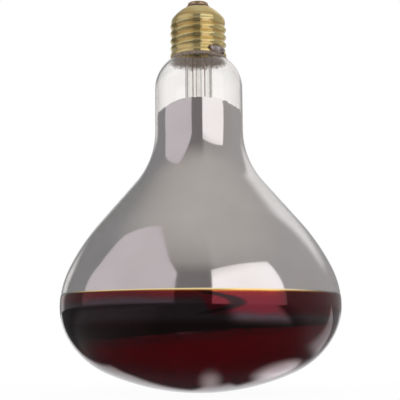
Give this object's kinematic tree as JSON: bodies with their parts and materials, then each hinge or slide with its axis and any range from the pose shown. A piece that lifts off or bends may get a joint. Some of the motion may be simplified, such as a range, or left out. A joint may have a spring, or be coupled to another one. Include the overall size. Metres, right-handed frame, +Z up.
{
  "type": "infrared heat lamp bulb",
  "caption": "Reflector heat lamp: blown bulb with a mirrored cone, clear neck and red face, on a brass screw cap, with stem, leads and filament inside.",
  "frame": {"origin": "crown of the solder on the centre contact, on the lamp's axis; the lamp hangs below it", "axes": "+Z up along the lamp's axis, out of the cap; -Y towards the viewer of the picture"},
  "size_m": [0.1271, 0.127, 0.1818],
  "materials": {
    "clear_glass": "clear, smooth",
    "mirror_metal": "mirror inside the glass",
    "red_lacquer": "glossy see-through red",
    "cap_brass": "rolled, bright",
    "contact_brass": "dull, tinned",
    "black_glass": "moulded, black",
    "solder": "soft grey metal",
    "cement": "matt, grainy",
    "lead_copper": "drawn wire",
    "seal_wire_metal": "drawn wire in glass",
    "lead_nickel": "drawn wire",
    "tungsten": "coiled wire",
    "support_metal": "drawn wire"
  },
  "bodies": {
    "root": {"arbor_rod": "clear_glass", "base_cement": "cement", "base_insulator": "black_glass", "centre_contact": "contact_brass", "centre_solder": "solder", "exhaust_tube": "clear_glass", "filament": "tungsten", "glass_bulb": "clear_glass", "inner_lead_centre": "lead_nickel", "inner_lead_side": "lead_nickel", "outer_lead_centre": "lead_copper", "outer_lead_side": "lead_copper", "red_coating": "red_lacquer", "reflector_film": "mirror_metal", "screw_shell": "cap_brass", "seal_wire_centre": "seal_wire_metal", "seal_wire_side": "seal_wire_metal", "side_solder": "solder", "stem_flare": "clear_glass", "support_wire_1": "support_metal", "support_wire_2": "support_metal", "support_wire_3": "support_metal", "support_wire_4": "support_metal"}
  },
  "joints": []
}
